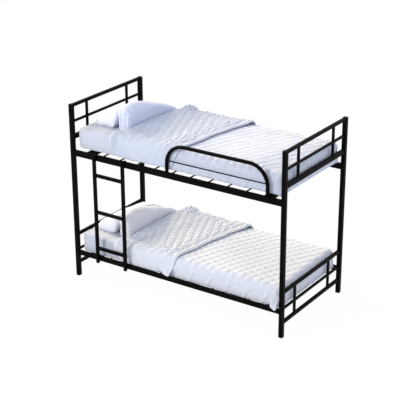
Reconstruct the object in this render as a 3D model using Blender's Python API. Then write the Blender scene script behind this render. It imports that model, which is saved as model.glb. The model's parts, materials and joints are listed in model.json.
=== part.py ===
"""Metal bunk bed with a hook-on ladder, a lift-out guard rail and made-up bedding.

Metres, +Z up. +X runs from the head end to the foot end, and the ladder side is the front, at -Y. The
origin is on the floor, at the middle of the whole bed's outline.
"""

import math

import bmesh
import bpy
from mathutils import Euler, Vector

# Overall frame
LENGTH = 2.07  # over the posts
FRAME_WIDTH = 0.975  # over the posts
HEIGHT = 1.55
GAP = 0.0003  # between pieces that touch

# Steel tube: outside sizes, wall and corner radius
POST = 0.035
WALL = 0.0015
CORNER = 0.0022
CORNER_STEPS = 3
SHARP_ANGLE = math.radians(40)
RAIL_DEPTH = 0.025  # of every rail, across its run
SPINDLE = 0.019
LADDER_TUBE = 0.025
RUNG_TUBE = 0.025
CAP_PLATE = 0.002  # welded plate that closes the top of a post

# Heights of the end rails: (name, height of its centre, height of its section)
UPPER_END_RAILS = (
    ("top", HEIGHT - 0.0125, 0.025),
    ("middle", 1.399, SPINDLE),
    ("bottom", 1.266, 0.040),
)
LOWER_END_RAILS = (
    ("top", 0.385, 0.025),
    ("middle", 0.2435, SPINDLE),
    ("bottom", 0.123, 0.025),
)
SPINDLE_Y = 0.273  # either side of the middle

# Side rails: (height of the centre, height of the section)
UPPER_SIDE_RAIL = (1.1308, 0.050)
LOWER_SIDE_RAIL = (0.220, 0.040)

# Mattress bases: rods across the bed, a stringer along it, and a channel near each end
ROD_RADIUS = 0.006
ROD_COUNT = 9
ROD_PITCH = 0.1725
ROD_INSET = 0.005  # from the outer face of the upper side rails to the rod ends
ROD_SIDES = 12
STRINGER_WIDTH = 0.012
STRINGER_DEPTH = 0.020
CHANNEL_WIDTH = 0.080
CHANNEL_HEIGHT = 0.020
CHANNEL_WALL = 0.002
CHANNEL_DROP = 0.002  # from the undersides of the rods down to its top
WELD_LAP = 0.001  # of the stringer's top below the centres of the rods
HEAD_CHANNEL_X = -0.845
FOOT_CHANNEL_X = 0.872
LOWER_BASE_DROP = 0.015  # from the top of the lower side rails down to the tops of the rods

# Ladder
STILE_X = (-0.7788, -0.4868)
STILE_BOTTOM = 0.187
RUNG_HEIGHTS = (0.985, 0.6555, 0.324)
HOOK_PLATE = 0.003
HOOK_DROP = 0.020  # of the tab behind the side rail
HOOK_INSET = 0.001  # of the hook from the stile's sides
HOOK_LIFT = 0.0006  # from the rail's top to the hook plate, and from its back to the tab

# Guard rail
GUARD_X = (-0.0604, 0.8714)
GUARD_TOP = 1.394  # centre of the top run
GUARD_BEND = 0.1635
GUARD_RADIUS = 0.015
GUARD_SIDES = 16
BEND_STEPS = 10
GUARD_ROD_Z = 1.2548
GUARD_ROD_RADIUS = 0.005
SPIGOT_RADIUS = 0.0128
SPIGOT_HEIGHT = 0.060

# Plastic plugs in the post ends
FOOT_FLANGE = 0.004
FOOT_INSERT = 0.022
INSERT_SLACK = 0.0004

# Bedding
MATTRESS_X = (-0.990, 0.980)
MATTRESS_HALF_WIDTH = 0.435
MATTRESS_THICK = 0.165
MATTRESS_PLAN_RADIUS = 0.055
MATTRESS_EDGE_RADIUS = 0.022
EDGE_STEPS = 4
SOFT_GAP = 0.0008  # between soft pieces that lie on each other
QUILT_HEAD_X = -0.545
QUILT_FOLD_X = 0.150  # the turned-down part reaches from the head end of the quilt to here
QUILT_FLAP_X = -0.645  # where its front corner ends, past the front end of the pillow
QUILT_FLAP_Y = -0.340
QUILT_TOP = 0.032
QUILT_SIDE = 0.0095
QUILT_FOLD_RISE = 0.024
QUILT_BEVEL = 0.008
QUILT_INSET = 0.006  # of the turned-down part from the quilt's sides
QUILT_LAP = 0.004  # between shapes that are joined into the quilt
QUILT_HEM_RISE = 0.006  # of its lower edge over the mattress base
# One tip of the lower quilt hangs over the front side rail
TIP_X = (0.915, 0.985)
TIP_THICK = 0.010
TIP_CLEAR = 0.0015  # from the rail's front
TIP_BOTTOM = 0.203
TIP_TOP = 0.262

# Pillows: (head-side x, foot-side x, height at the head side, height at the foot side)
BACK_PILLOW = (-0.945, -0.712, 0.060, 0.150)
FRONT_PILLOW = (-0.700, -0.552, 0.202, 0.202)
FRONT_PILLOW_FALL = 0.80  # share of its height that is gone at its back end
BACK_PILLOW_FALL = 0.35
PILLOW_FRONT_END = 0.55  # smallest section, as a share of the full one, at the front end
PILLOW_BACK_END = 0.12  # and at the back end
# Of each bunk's pillows: (front end, back end), and their height as a share of the profile's
UPPER_PILLOWS = ((-0.285, 0.380), 1.03)
LOWER_PILLOWS = ((-0.315, 0.350), 1.06)
PILLOW_STATIONS = 14
PILLOW_SIDES = 16

# Outline of the whole bed: the ladder stands proud at the front only, so the frame sits back from the
# middle by half of that.
RAIL_Y = FRAME_WIDTH / 2 - POST / 2
RAIL_OUTER_Y = RAIL_Y + RAIL_DEPTH / 2
RAIL_INNER_Y = RAIL_Y - RAIL_DEPTH / 2
STILE_BACK_Y = -(RAIL_OUTER_Y + HOOK_LIFT)
STILE_FRONT_Y = STILE_BACK_Y - LADDER_TUBE
FRAME_Y = (-STILE_FRONT_Y - FRAME_WIDTH / 2) / 2

POST_X = LENGTH / 2 - POST / 2
INNER_X = LENGTH / 2 - POST
INNER_Y = FRAME_WIDTH / 2 - POST
ENDS = (("head", -1), ("foot", 1))
SIDES = (("front", -1), ("back", 1))

# Rotations that turn a piece's own +Z to run along the named axis
ALONG = {
    "X": Euler((0.0, math.pi / 2, 0.0)),
    "Y": Euler((-math.pi / 2, 0.0, 0.0)),
    "Z": Euler((0.0, 0.0, 0.0)),
}


def clear_scene():
    for found in list(bpy.data.objects):
        bpy.data.objects.remove(found)


def make_material(name, colour, roughness, metallic):
    material = bpy.data.materials.new(name)
    material.use_nodes = True
    shader = material.node_tree.nodes["Principled BSDF"]
    shader.inputs["Base Color"].default_value = (*colour, 1.0)
    shader.inputs["Roughness"].default_value = roughness
    shader.inputs["Metallic"].default_value = metallic
    return material


def rounded_rectangle(width, depth, radius, steps=CORNER_STEPS):
    """Points of a rounded rectangle about the origin, anticlockwise from the +X side."""
    points = []
    for corner in range(4):
        start = corner * math.pi / 2
        middle = start + math.pi / 4
        centre_x = math.copysign(width / 2 - radius, math.cos(middle))
        centre_y = math.copysign(depth / 2 - radius, math.sin(middle))
        for step in range(steps + 1):
            angle = start + step / steps * math.pi / 2
            points.append((centre_x + radius * math.cos(angle), centre_y + radius * math.sin(angle)))
    return points


def circle(radius, sides):
    turns = (2 * math.pi * side / sides for side in range(sides))
    return [(radius * math.cos(turn), radius * math.sin(turn)) for turn in turns]


def at_height(outline, height):
    return [Vector((x, y, height)) for x, y in outline]


def skin(name, rings, closed=False):
    """A closed mesh through rings of points, capped at both ends, or closed round on itself."""
    shape = bmesh.new()
    loops = [[shape.verts.new(point) for point in ring] for ring in rings]
    pairs = list(zip(loops, loops[1:]))
    if closed:
        pairs.append((loops[-1], loops[0]))
    else:
        shape.faces.new(loops[0])
        shape.faces.new(loops[-1])
    for lower, upper in pairs:
        count = len(lower)
        for i in range(count):
            j = (i + 1) % count
            shape.faces.new((lower[i], lower[j], upper[j], upper[i]))
    bmesh.ops.recalc_face_normals(shape, faces=shape.faces)
    mesh = bpy.data.meshes.new(name)
    shape.to_mesh(mesh)
    shape.free()
    mesh.shade_smooth()
    mesh.set_sharp_from_angle(angle=SHARP_ANGLE)
    return mesh


def tube_mesh(name, length, width, depth, wall=WALL, closed_top=False):
    """A rectangular tube from z = 0 up to its length, open at both ends or closed by a plate on top."""
    outer = rounded_rectangle(width, depth, CORNER)
    inner = rounded_rectangle(width - 2 * wall, depth - 2 * wall, CORNER - wall)
    if closed_top:
        rings = [
            at_height(inner, length - CAP_PLATE),
            at_height(inner, 0),
            at_height(outer, 0),
            at_height(outer, length),
        ]
        return skin(name, rings)
    rings = [
        at_height(outer, 0),
        at_height(outer, length),
        at_height(inner, length),
        at_height(inner, 0),
    ]
    return skin(name, rings, closed=True)


def box_mesh(name, low, high):
    corners = [(low[0], low[1]), (high[0], low[1]), (high[0], high[1]), (low[0], high[1])]
    return skin(name, [at_height(corners, low[2]), at_height(corners, high[2])])


def place(name, mesh, material, parent, location=(0, 0, 0), along="Z"):
    piece = bpy.data.objects.new(name, mesh)
    bpy.context.collection.objects.link(piece)
    piece.parent = parent
    piece.location = location
    piece.rotation_euler = ALONG[along]
    if material is not None:
        mesh.materials.append(material)
    return piece


def add_empty(name, location, parent=None):
    empty = bpy.data.objects.new(name, None)
    bpy.context.collection.objects.link(empty)
    empty.location = location
    empty.parent = parent
    return empty


def combine(piece, tool_mesh, operation):
    """Join a helper shape to a piece, or cut it away."""
    tool = place(f"{piece.name}_{tool_mesh.name}", tool_mesh, None, piece.parent, piece.location)
    tool.hide_render = True
    tool.display_type = "WIRE"
    modifier = piece.modifiers.new(operation.title(), "BOOLEAN")
    modifier.operation = operation
    modifier.solver = "EXACT"
    modifier.object = tool


def joined_mesh(name, meshes):
    """One mesh with the faces of several, which don't touch each other."""
    shape = bmesh.new()
    for mesh in meshes:
        shape.from_mesh(mesh)
    mesh = bpy.data.meshes.new(name)
    shape.to_mesh(mesh)
    shape.free()
    return mesh


def add_posts(steel, plastic, parent):
    for end, x_side in ENDS:
        for side, y_side in SIDES:
            x, y = x_side * POST_X, y_side * RAIL_Y
            bottom = FOOT_FLANGE + GAP
            mesh = tube_mesh("post", HEIGHT - bottom, POST, POST, closed_top=True)
            place(f"post_{end}_{side}", mesh, steel, parent, (x, y, bottom))
            place(f"foot_cap_{end}_{side}", foot_cap_mesh(), plastic, parent, (x, y, 0))


def foot_cap_mesh():
    """A square plug: a flange under the post and an insert up inside it."""
    bore = POST - 2 * WALL - 2 * INSERT_SLACK
    flange = rounded_rectangle(POST, POST, CORNER)
    insert = rounded_rectangle(bore, bore, CORNER / 2)
    rings = [
        at_height(flange, 0),
        at_height(flange, FOOT_FLANGE),
        at_height(insert, FOOT_FLANGE),
        at_height(insert, FOOT_FLANGE + FOOT_INSERT),
    ]
    return skin("foot_cap", rings)


def add_end_frames(steel, parent):
    for end, x_side in ENDS:
        for tier, rails in (("upper", UPPER_END_RAILS), ("lower", LOWER_END_RAILS)):
            x = x_side * POST_X
            for level, centre_z, section in rails:
                depth = SPINDLE if level == "middle" else RAIL_DEPTH
                mesh = tube_mesh("end_rail", 2 * (INNER_Y - GAP), depth, section)
                start = (x, -(INNER_Y - GAP), centre_z)
                place(f"{end}_{tier}_{level}_rail", mesh, steel, parent, start, "Y")
            add_spindles(f"{end}_{tier}_spindle", x, rails, steel, parent)


def add_spindles(stem, x, rails, steel, parent):
    """Short uprights welded between each rail and the one below it."""
    for half, above, below in (("high", rails[0], rails[1]), ("low", rails[1], rails[2])):
        bottom = below[1] + below[2] / 2 + GAP
        top = above[1] - above[2] / 2 - GAP
        for side, y_side in SIDES:
            mesh = tube_mesh("spindle", top - bottom, SPINDLE, SPINDLE)
            start = (x, y_side * SPINDLE_Y, bottom)
            place(f"{stem}_{side}_{half}", mesh, steel, parent, start)


def add_side_rails(steel, parent):
    for tier, (centre_z, section) in (("upper", UPPER_SIDE_RAIL), ("lower", LOWER_SIDE_RAIL)):
        for side, y_side in SIDES:
            mesh = tube_mesh("side_rail", 2 * (INNER_X - GAP), section, RAIL_DEPTH)
            start = (-(INNER_X - GAP), y_side * RAIL_Y, centre_z)
            place(f"{tier}_{side}_side_rail", mesh, steel, parent, start, "X")


def rod_mesh(x, z, half_length):
    section = circle(ROD_RADIUS, ROD_SIDES)
    rings = [[Vector((x + a, y, z + b)) for a, b in section] for y in (-half_length, half_length)]
    return skin("rod", rings)


def channel_mesh(x, top, half_length):
    """A channel across the bed, open underneath."""
    half, wall = CHANNEL_WIDTH / 2, CHANNEL_WALL
    outline = [
        (-half, -CHANNEL_HEIGHT),
        (-half + wall, -CHANNEL_HEIGHT),
        (-half + wall, -wall),
        (half - wall, -wall),
        (half - wall, -CHANNEL_HEIGHT),
        (half, -CHANNEL_HEIGHT),
        (half, 0),
        (-half, 0),
    ]
    rings = [[Vector((x + a, y, top + b)) for a, b in outline] for y in (-half_length, half_length)]
    return skin("channel", rings)


def add_mattress_base(tier, rod_z, rod_half_length, steel, parent):
    """Rods across the bed on one stringer, with a channel at each end, all welded into one grid."""
    stringer_top = rod_z - WELD_LAP
    stringer = box_mesh(
        "stringer",
        (HEAD_CHANNEL_X, -STRINGER_WIDTH / 2, stringer_top - STRINGER_DEPTH),
        (FOOT_CHANNEL_X, STRINGER_WIDTH / 2, stringer_top),
    )
    base = place(f"{tier}_slat_base", stringer, steel, parent)
    channel_top = rod_z - ROD_RADIUS - CHANNEL_DROP
    first = -(ROD_COUNT - 1) / 2 * ROD_PITCH
    across = [rod_mesh(first + i * ROD_PITCH, rod_z, rod_half_length) for i in range(ROD_COUNT)]
    for x in (HEAD_CHANNEL_X, FOOT_CHANNEL_X):
        across.append(channel_mesh(x, channel_top, RAIL_INNER_Y - GAP))
    combine(base, joined_mesh("cross_pieces", across), "UNION")


def rail_top(rail):
    return rail[0] + rail[1] / 2


def upper_rod_z():
    return rail_top(UPPER_SIDE_RAIL) + GAP + ROD_RADIUS


def lower_rod_z():
    return rail_top(LOWER_SIDE_RAIL) - LOWER_BASE_DROP - ROD_RADIUS


def hook_mesh():
    """A plate over the side rail with a tab down behind it, about the stile's own middle."""
    half = LADDER_TUBE / 2
    plate_bottom = rail_top(UPPER_SIDE_RAIL) + HOOK_LIFT
    plate_top = plate_bottom + HOOK_PLATE
    tab_front = -RAIL_INNER_Y + HOOK_LIFT
    tab_back = tab_front + HOOK_PLATE
    front = STILE_FRONT_Y + CORNER
    outline = [
        (front, plate_bottom),
        (tab_front, plate_bottom),
        (tab_front, plate_bottom - HOOK_DROP),
        (tab_back, plate_bottom - HOOK_DROP),
        (tab_back, plate_top),
        (front, plate_top),
    ]
    ends = (-half + HOOK_INSET, half - HOOK_INSET)
    rings = [[Vector((x, y, z)) for y, z in outline] for x in ends]
    return skin("hook", rings)


def add_ladder(steel, parent):
    stile_y = (STILE_BACK_Y + STILE_FRONT_Y) / 2
    stile_top = rail_top(UPPER_SIDE_RAIL) + HOOK_LIFT + HOOK_PLATE / 2
    for end, x in zip(("head", "foot"), STILE_X):
        mesh = tube_mesh("stile", stile_top - STILE_BOTTOM, LADDER_TUBE, LADDER_TUBE, closed_top=True)
        stile = place(f"ladder_stile_{end}", mesh, steel, parent, (x, stile_y, STILE_BOTTOM))
        hook = hook_mesh()
        hook.transform(stile.matrix_basis.Translation(Vector((0, -stile_y, -STILE_BOTTOM))))
        combine(stile, hook, "UNION")
    rung_start = STILE_X[0] + LADDER_TUBE / 2 + GAP
    rung_length = STILE_X[1] - LADDER_TUBE / 2 - GAP - rung_start
    for number, height in enumerate(RUNG_HEIGHTS, start=1):
        mesh = tube_mesh("rung", rung_length, RUNG_TUBE, RUNG_TUBE)
        place(f"ladder_rung_{number}", mesh, steel, parent, (rung_start, stile_y, height), "X")


def guard_path(foot_z):
    """Centreline of the hoop: up one leg, round two bends and down the other, with its tangents."""
    left, right = GUARD_X
    points = [(Vector((left, 0, foot_z)), Vector((0, 0, 1)))]
    for centre_x, start in ((left + GUARD_BEND, math.pi), (right - GUARD_BEND, math.pi / 2)):
        for step in range(BEND_STEPS + 1):
            angle = start - step / BEND_STEPS * math.pi / 2
            out = Vector((math.cos(angle), 0, math.sin(angle)))
            centre = Vector((centre_x, 0, GUARD_TOP - GUARD_BEND))
            points.append((centre + GUARD_BEND * out, Vector((out.z, 0, -out.x))))
    points.append((Vector((right, 0, foot_z)), Vector((0, 0, -1))))
    return points


def add_guard_rail(steel, guard, frame):
    rail_z = rail_top(UPPER_SIDE_RAIL)
    path = guard_path(rail_z + GAP)
    rings = []
    for radius, run in ((GUARD_RADIUS, path), (GUARD_RADIUS - WALL, reversed(path))):
        for point, tangent in run:
            normal = Vector((-tangent.z, 0, tangent.x))
            section = circle(radius, GUARD_SIDES)
            rings.append([point + a * normal + Vector((0, b, 0)) for a, b in section])
    hoop = skin("guard_hoop", rings, closed=True)
    place("guard_rail_hoop", hoop, steel, guard, (0, -RAIL_Y, 0))

    rise = GUARD_ROD_Z + GUARD_ROD_RADIUS - (GUARD_TOP - GUARD_BEND)
    chord = GUARD_BEND * math.cos(math.pi / 4 / BEND_STEPS)
    reach = GUARD_BEND - math.sqrt(chord**2 - rise**2) + GUARD_RADIUS + GAP
    start = GUARD_X[0] + reach
    length = GUARD_X[1] - reach - start
    section = circle(GUARD_ROD_RADIUS, ROD_SIDES)
    rod = skin("guard_rod", [at_height(section, 0), at_height(section, length)])
    place("guard_rail_rod", rod, steel, guard, (start, -RAIL_Y, GUARD_ROD_Z), "X")

    for end, x in zip(("head", "foot"), GUARD_X):
        section = circle(SPIGOT_RADIUS, GUARD_SIDES)
        spigot = skin("spigot", [at_height(section, 0), at_height(section, SPIGOT_HEIGHT)])
        place(f"guard_spigot_{end}", spigot, steel, frame, (x, -RAIL_Y, rail_z + GAP))


def mattress_mesh(bottom):
    """A block with rounded corners in plan and rolled edges."""
    width = MATTRESS_X[1] - MATTRESS_X[0]
    middle = sum(MATTRESS_X) / 2
    angles = [step / EDGE_STEPS * math.pi / 2 for step in range(EDGE_STEPS + 1)]
    profile = [(1 - math.sin(a), 1 - math.cos(a)) for a in angles]
    levels = [(inset * MATTRESS_EDGE_RADIUS, bottom + rise * MATTRESS_EDGE_RADIUS) for inset, rise in profile]
    top = bottom + MATTRESS_THICK
    levels += [(inset, bottom + top - z) for inset, z in reversed(levels)]
    rings = []
    for inset, z in levels:
        outline = rounded_rectangle(
            width - 2 * inset,
            2 * (MATTRESS_HALF_WIDTH - inset),
            MATTRESS_PLAN_RADIUS - inset,
            EDGE_STEPS,
        )
        rings.append([Vector((middle + x, y, z)) for x, y in outline])
    return skin("mattress", rings)


def add_quilt(tier, mattress_bottom, hem_z, fabric, parent):
    """A bedspread over the foot part of the mattress, down three sides, turned back at its head end."""
    mattress_top = mattress_bottom + MATTRESS_THICK
    half = MATTRESS_HALF_WIDTH + SOFT_GAP + QUILT_SIDE
    foot_x = MATTRESS_X[1] + SOFT_GAP + QUILT_SIDE
    top = mattress_top + SOFT_GAP + QUILT_TOP
    body = box_mesh("quilt", (QUILT_HEAD_X, -half, hem_z), (foot_x, half, top))
    quilt = place(f"{tier}_quilt", body, fabric, parent)
    bevel = quilt.modifiers.new("Soft edges", "BEVEL")
    bevel.width = QUILT_BEVEL
    bevel.segments = 3

    inset = half - QUILT_INSET
    fold_low = (QUILT_HEAD_X + QUILT_LAP, -inset, mattress_top + SOFT_GAP + QUILT_LAP)
    fold_high = (QUILT_FOLD_X, inset, top + QUILT_FOLD_RISE)
    flap_low = (QUILT_FLAP_X, -half, hem_z)
    flap_high = (QUILT_HEAD_X + QUILT_BEVEL + QUILT_LAP, QUILT_FLAP_Y, top)
    combine(quilt, box_mesh("fold", fold_low, fold_high), "UNION")
    combine(quilt, box_mesh("flap", flap_low, flap_high), "UNION")

    clear = 0.5  # how far the hollow reaches past the quilt
    hollow_low = (QUILT_HEAD_X - clear, -MATTRESS_HALF_WIDTH - SOFT_GAP, hem_z - clear)
    hollow_high = (
        MATTRESS_X[1] + SOFT_GAP,
        MATTRESS_HALF_WIDTH + SOFT_GAP,
        mattress_top + SOFT_GAP,
    )
    combine(quilt, box_mesh("hollow", hollow_low, hollow_high), "DIFFERENCE")


def add_quilt_tip(fabric, parent):
    """The part of the lower quilt's front foot corner that lies in front of the side rail."""
    back = -RAIL_OUTER_Y - TIP_CLEAR
    tip = box_mesh("tip", (TIP_X[0], back - TIP_THICK, TIP_BOTTOM), (TIP_X[1], back, TIP_TOP))
    place("lower_quilt_tip", tip, fabric, parent)


def pillow_mesh(profile, y_range, rest_z, fall, grow):
    """A pillow lofted from end to end, with a flat underside, full at the front end and lower behind."""
    head_x, foot_x, head_height, foot_height = profile
    rings = []
    for station in range(PILLOW_STATIONS):
        t = station / (PILLOW_STATIONS - 1)
        least = PILLOW_FRONT_END if t < 0.5 else PILLOW_BACK_END
        full = max(least, (4 * t * (1 - t)) ** 0.3)
        sink = 1 - fall * max(0.0, t - 0.25) / 0.75
        y = y_range[0] + (y_range[1] - y_range[0]) * t
        ring = []
        for side in range(PILLOW_SIDES):
            turn = 2 * math.pi * side / PILLOW_SIDES
            across = math.copysign(abs(math.cos(turn)) ** 0.5, math.cos(turn))
            rise = 0.5 + 0.5 * math.copysign(abs(math.sin(turn)) ** 0.5, math.sin(turn))
            u = 0.5 + 0.5 * across * (0.75 + 0.25 * full)
            height = (head_height + (foot_height - head_height) * u) * sink * full * grow
            ring.append(Vector((head_x + (foot_x - head_x) * u, y, rest_z + rise * height)))
        rings.append(ring)
    return skin("pillow", rings)


def add_bedding(tier, base_top, hem_z, pillow_y, grow, fabrics, parent):
    """Mattress, bedspread and two pillows of one bunk."""
    cover, quilting, pillowcase = fabrics
    bottom = base_top + SOFT_GAP
    lift = add_empty(f"{tier}_mattress_lift", (0, FRAME_Y, 0), parent)
    place(f"{tier}_mattress", mattress_mesh(bottom), cover, lift)
    add_quilt(tier, bottom, hem_z, quilting, lift)
    if tier == "lower":
        add_quilt_tip(quilting, lift)
    rest_z = bottom + MATTRESS_THICK + SOFT_GAP
    for name, profile, fall in (
        ("back", BACK_PILLOW, BACK_PILLOW_FALL),
        ("front", FRONT_PILLOW, FRONT_PILLOW_FALL),
    ):
        pillow_lift = add_empty(f"{tier}_pillow_{name}_lift", (0, 0, 0), lift)
        mesh = pillow_mesh(profile, pillow_y, rest_z, fall, grow)
        place(f"{tier}_pillow_{name}", mesh, pillowcase, pillow_lift)


def main():
    clear_scene()
    steel = make_material("frame_steel", (0.012, 0.012, 0.013), 0.48, 0.2)
    plastic = make_material("foot_plastic", (0.015, 0.015, 0.015), 0.7, 0.0)
    cover = make_material("mattress_cover", (0.82, 0.84, 0.90), 0.85, 0.0)
    quilting = make_material("quilt_fabric", (0.90, 0.90, 0.93), 0.85, 0.0)
    pillowcase = make_material("pillow_fabric", (0.85, 0.87, 0.93), 0.85, 0.0)

    bed = add_empty("bed", (0, 0, 0))
    frame = add_empty("frame", (0, FRAME_Y, 0), bed)
    ladder = add_empty("ladder_lift", (0, FRAME_Y, 0), bed)
    guard = add_empty("guard_rail_lift", (0, FRAME_Y, 0), bed)

    add_posts(steel, plastic, frame)
    add_end_frames(steel, frame)
    add_side_rails(steel, frame)
    rods_on_rails = RAIL_OUTER_Y - ROD_INSET
    add_mattress_base("upper", upper_rod_z(), rods_on_rails, steel, frame)
    add_mattress_base("lower", lower_rod_z(), RAIL_INNER_Y - GAP, steel, frame)
    add_ladder(steel, ladder)
    add_guard_rail(steel, guard, frame)

    fabrics = (cover, quilting, pillowcase)
    upper_top = upper_rod_z() + ROD_RADIUS
    lower_top = lower_rod_z() + ROD_RADIUS
    add_bedding("upper", upper_top, upper_top + QUILT_HEM_RISE, *UPPER_PILLOWS, fabrics, bed)
    add_bedding("lower", lower_top, lower_top + QUILT_HEM_RISE, *LOWER_PILLOWS, fabrics, bed)


main()
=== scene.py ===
"""Looks for the metal bunk bed: painted steel, made-up bedding, a plain pale floor and soft light.

Metres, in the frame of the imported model: +X from the head end to the foot end, -Y the ladder side.
"""

import json
import math

import bmesh
import bpy
import numpy as np
from mathutils import Matrix, Vector

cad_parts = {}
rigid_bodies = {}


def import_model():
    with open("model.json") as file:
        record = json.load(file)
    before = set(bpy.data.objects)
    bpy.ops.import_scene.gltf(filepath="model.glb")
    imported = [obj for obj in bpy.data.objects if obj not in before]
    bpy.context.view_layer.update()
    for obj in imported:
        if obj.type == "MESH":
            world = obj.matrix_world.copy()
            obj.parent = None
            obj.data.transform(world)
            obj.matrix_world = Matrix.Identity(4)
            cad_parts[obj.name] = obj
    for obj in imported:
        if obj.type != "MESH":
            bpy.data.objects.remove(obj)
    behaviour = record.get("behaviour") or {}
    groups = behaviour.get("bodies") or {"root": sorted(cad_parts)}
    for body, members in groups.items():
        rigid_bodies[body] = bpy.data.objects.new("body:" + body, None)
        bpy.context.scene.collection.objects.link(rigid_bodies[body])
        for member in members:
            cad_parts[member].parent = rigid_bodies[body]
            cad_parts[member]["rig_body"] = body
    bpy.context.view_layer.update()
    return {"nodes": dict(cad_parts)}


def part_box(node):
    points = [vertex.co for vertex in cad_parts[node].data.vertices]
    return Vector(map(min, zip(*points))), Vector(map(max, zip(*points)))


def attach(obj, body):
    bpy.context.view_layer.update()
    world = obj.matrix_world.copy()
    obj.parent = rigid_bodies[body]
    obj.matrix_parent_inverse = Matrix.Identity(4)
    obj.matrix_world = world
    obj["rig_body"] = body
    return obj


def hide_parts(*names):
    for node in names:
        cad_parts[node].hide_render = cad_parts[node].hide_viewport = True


# Mattress, in metres
MATTRESS_CORNER = 0.034  # in plan
MATTRESS_EDGE = 0.022  # radius of its upper edge
MATTRESS_BOTTOM_EDGE = 0.010
MATTRESS_BULGE = 0.003
CAP_INSET = 0.008  # of the ring of faces round its top and its bottom
EDGE_RINGS = 10
SIDE_RINGS = 14
CORNERS = ((1, 1), (-1, 1), (-1, -1), (1, -1))
CORNER_POINTS = 10
LONG_SIDE_POINTS = 96
SHORT_SIDE_POINTS = 44
SEAM_DEPTH = 0.0022
SEAM_INSET = 0.030  # from its bottom and from its top
SEAM_WIDTH = 0.004
SHEET_RIPPLE = 0.0011

# Quilt
QUILT_HALF = 0.0090  # half its thickness on top of the bed
QUILT_HALF_SIDE = 0.0042  # and where it hangs
QUILT_STEP = 0.0065  # spacing of its points
GATHER_STEP = 0.0045  # and along its turned-down part
FOLD_ROWS = 9  # of points round the fold
QUILT_TURN = 0.045  # radius of its bend over a mattress edge
QUILT_CROWN = 0.012
CROWN_FADE = (0.02, 0.25)  # past the foot edge, the crown ends, and fades over this length
QUILT_LIFT = 0.0105  # of its middle surface over the mattress
QUILT_LIFT_SIDE = 0.0056
QUILT_WAVE = 0.0032
CORNER_LIFT = 0.006
SWING = 0.0010
FRONT_DROP = 0.158  # down from the top of the mattress
FOOT_DROP = 0.150
CORNER_TIP = {"upper": 0.08, "lower": 0.0}  # extra reach of the cloth at the foot corners

# Its fold at the head end, and its turned-down part
FOLD_X = -0.530  # on top of the bed
FOLD_X_FRONT = -0.617  # and on the front side
FOLD_SHIFT_BACK = 0.045
FOLD_SHIFT_DROP = 0.060
FOLD_RISE = 0.0190  # from the quilt's middle surface up to the turned-down part's
FOLD_RISE_SIDE = 0.0092
# Where the turned-down part ends: at the middle of the bed, its shift for each metre towards the back,
# and for the whole of the front drop
HEM_X = {"upper": (0.126, 0.161, -0.100), "lower": (0.098, 0.200, -0.060)}
HEM_STRAIGHT = 0.46
HEM_WANDER = 0.004
HEM_BAND = 0.052  # width of the plain padded band along the hem
FAR = 9.0  # stands for the distance to the hem where there is none
ROLL = {"upper": 0.034, "lower": 0.014}  # how far the fold stands off beside the front pillow
ROLL_WIDTH = 0.034
FLARE = 0.007  # of the turned-down part's front corner
HOOK_X = -0.487  # the front is pressed in here, clear of a ladder hook
HOOK_WIDTH = 0.045
HOOK_PRESS = 0.0050

# Its stitched patches and plain side panels
PATCH = 0.066  # side of one quilted patch
PATCH_TURN = math.radians(23.5)
PATCH_PUFF = 0.0078
HIDDEN_PUFF = 0.0015  # of the faces that lie on something
TURNED_PATCHES = {"upper": 0.68, "lower": 1.0}  # how strongly the patches show on the turned-down part
SIDE_SOFTENING = 0.45  # how much weaker they are on the sides
BAND_PUFF = 0.0045
ROLLED_HEM = 0.011
PANEL = 0.175  # length of one plain panel of the sides
PANEL_SLANT = 0.055
FOOT_PANELS = 1.6  # how much shorter they are at the foot end
CORD_HEIGHT = 0.0026
RIDGE_HEIGHT = 0.0070

# Folds of the turned-down part
GATHER_PITCH = 0.021
GATHER_HEIGHT = {"upper": 0.0032, "lower": 0.0040}
BILLOW_HEIGHT = 0.0045
PLEAT_PITCH = 0.044  # of the pleats beside the hem band
PLEAT_HEIGHT = 0.0030
SCALLOP_PITCH = 0.042  # along the back edge of the bed
SCALLOP_HEIGHT = 0.006
CRUMPLE_PLACE = (-0.445, 0.415)  # the bunched corner at the back
CRUMPLE_SIZE = (0.062, 0.052)
CRUMPLE_HEIGHT = 0.026
CRUMPLE_RIPPLE = 0.015
CRUMPLE_PITCH = 0.029
HEM_END_LIFT = 0.012  # of the back end of its hem
CREASE_HEIGHT = 0.0035
CREASE_WIDTH = 0.060
PILLOW_TO_CREASES = 0.085
SLANT_PITCH = 0.071  # of the folds that hang slanting on its front
SLANT = 0.060
SLANT_HEIGHT = 0.0036

# The front hem over the lower side rail
RAIL_TIP = (0.905, 0.958, 1.000)  # at the foot corner: where it starts, is lowest and ends
RAIL_TIP_DROP = 0.024
RAIL_TIP_HALF = 0.030
RAIL_CLEAR = 0.0065  # above the rail
RAIL_STAND_OFF = 0.0100  # in front of it
HEM_END_REACH = 0.92

# Front pillow: (distances from the middle of the bed, sizes there), in its height and its thickness
FRONT_PILLOW_HEIGHTS = (
    (-0.29, -0.22, -0.12, 0.0, 0.13, 0.26, 0.34, 0.392),
    (0.176, 0.207, 0.214, 0.194, 0.152, 0.098, 0.062, 0.028),
)
FRONT_PILLOW_THICKNESSES = ((-0.29, -0.10, 0.15, 0.30, 0.392), (0.122, 0.138, 0.115, 0.070, 0.018))
FRONT_PILLOW_X = -0.611
FRONT_PILLOW_BEND = 0.048
FRONT_PILLOW_LEAN = 0.022
PILLOW_FRONT_END = -0.292
PILLOW_BACK_END = 0.392

# Back pillow
BACK_PILLOW_X = (-0.945, -0.712)
BACK_PILLOW_Y = (-0.275, 0.350)
BACK_PILLOW_HEIGHT = 0.150

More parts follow.
